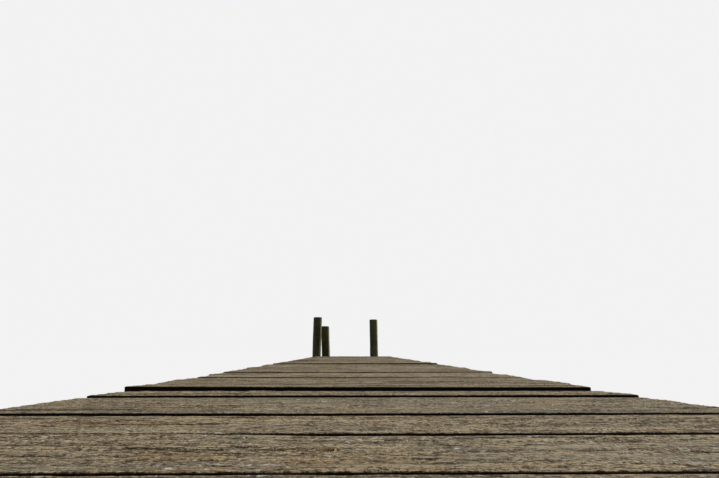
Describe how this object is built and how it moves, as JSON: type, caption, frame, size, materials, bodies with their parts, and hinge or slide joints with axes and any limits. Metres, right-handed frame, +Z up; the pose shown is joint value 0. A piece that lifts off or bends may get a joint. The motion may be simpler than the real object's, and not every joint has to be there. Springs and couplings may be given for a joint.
{
  "type": "wooden jetty",
  "caption": "Narrow wooden lake jetty: weathered boards across stringers and paired crossbeams on timber piles, with mooring posts at the lake end.",
  "frame": {"origin": "middle of the whole jetty in plan, at the water line where its piles stand", "axes": "+Z up, +Y along the deck towards the open water, +X across the deck to the right"},
  "size_m": [1.418, 10.4332, 1.2509],
  "materials": {
    "deck_boards": "sawn softwood weathered silver-brown, with raised grain",
    "stringers": "sawn timber, darker and damper than the deck",
    "crossbeams": "sawn timber, weathered grey at the ends",
    "piles": "peeled round timber, dark and stained green near the water",
    "posts": "peeled round timber, weathered olive-grey, with drying cracks"
  },
  "bodies": {
    "root": {"crossbeam_1_lake_side": "crossbeams", "crossbeam_1_shore_side": "crossbeams", "crossbeam_2_lake_side": "crossbeams", "crossbeam_2_shore_side": "crossbeams", "crossbeam_3_lake_side": "crossbeams", "crossbeam_3_shore_side": "crossbeams", "crossbeam_4_lake_side": "crossbeams", "crossbeam_4_shore_side": "crossbeams", "crossbeam_5_lake_side": "crossbeams", "crossbeam_5_shore_side": "crossbeams", "crossbeam_6_lake_side": "crossbeams", "crossbeam_6_shore_side": "crossbeams", "deck_boards_bay_1": "deck_boards", "deck_boards_bay_2": "deck_boards", "deck_boards_bay_3": "deck_boards", "deck_boards_bay_4": "deck_boards", "deck_boards_bay_5": "deck_boards", "mooring_post_short": "posts", "mooring_post_tall": "posts", "pile_1_left": "piles", "pile_1_right": "piles", "pile_2_left": "piles", "pile_2_right": "piles", "pile_3_left": "piles", "pile_3_right": "piles", "pile_4_left": "piles", "pile_4_right": "piles", "pile_5_left": "piles", "pile_5_right": "piles", "pile_6_right_stub": "piles", "stringer_left_1": "stringers", "stringer_left_2": "stringers", "stringer_left_3": "stringers", "stringer_middle_1": "stringers", "stringer_middle_2": "stringers", "stringer_middle_3": "stringers", "stringer_right_1": "stringers", "stringer_right_2": "stringers", "stringer_right_3": "stringers"}
  },
  "joints": []
}
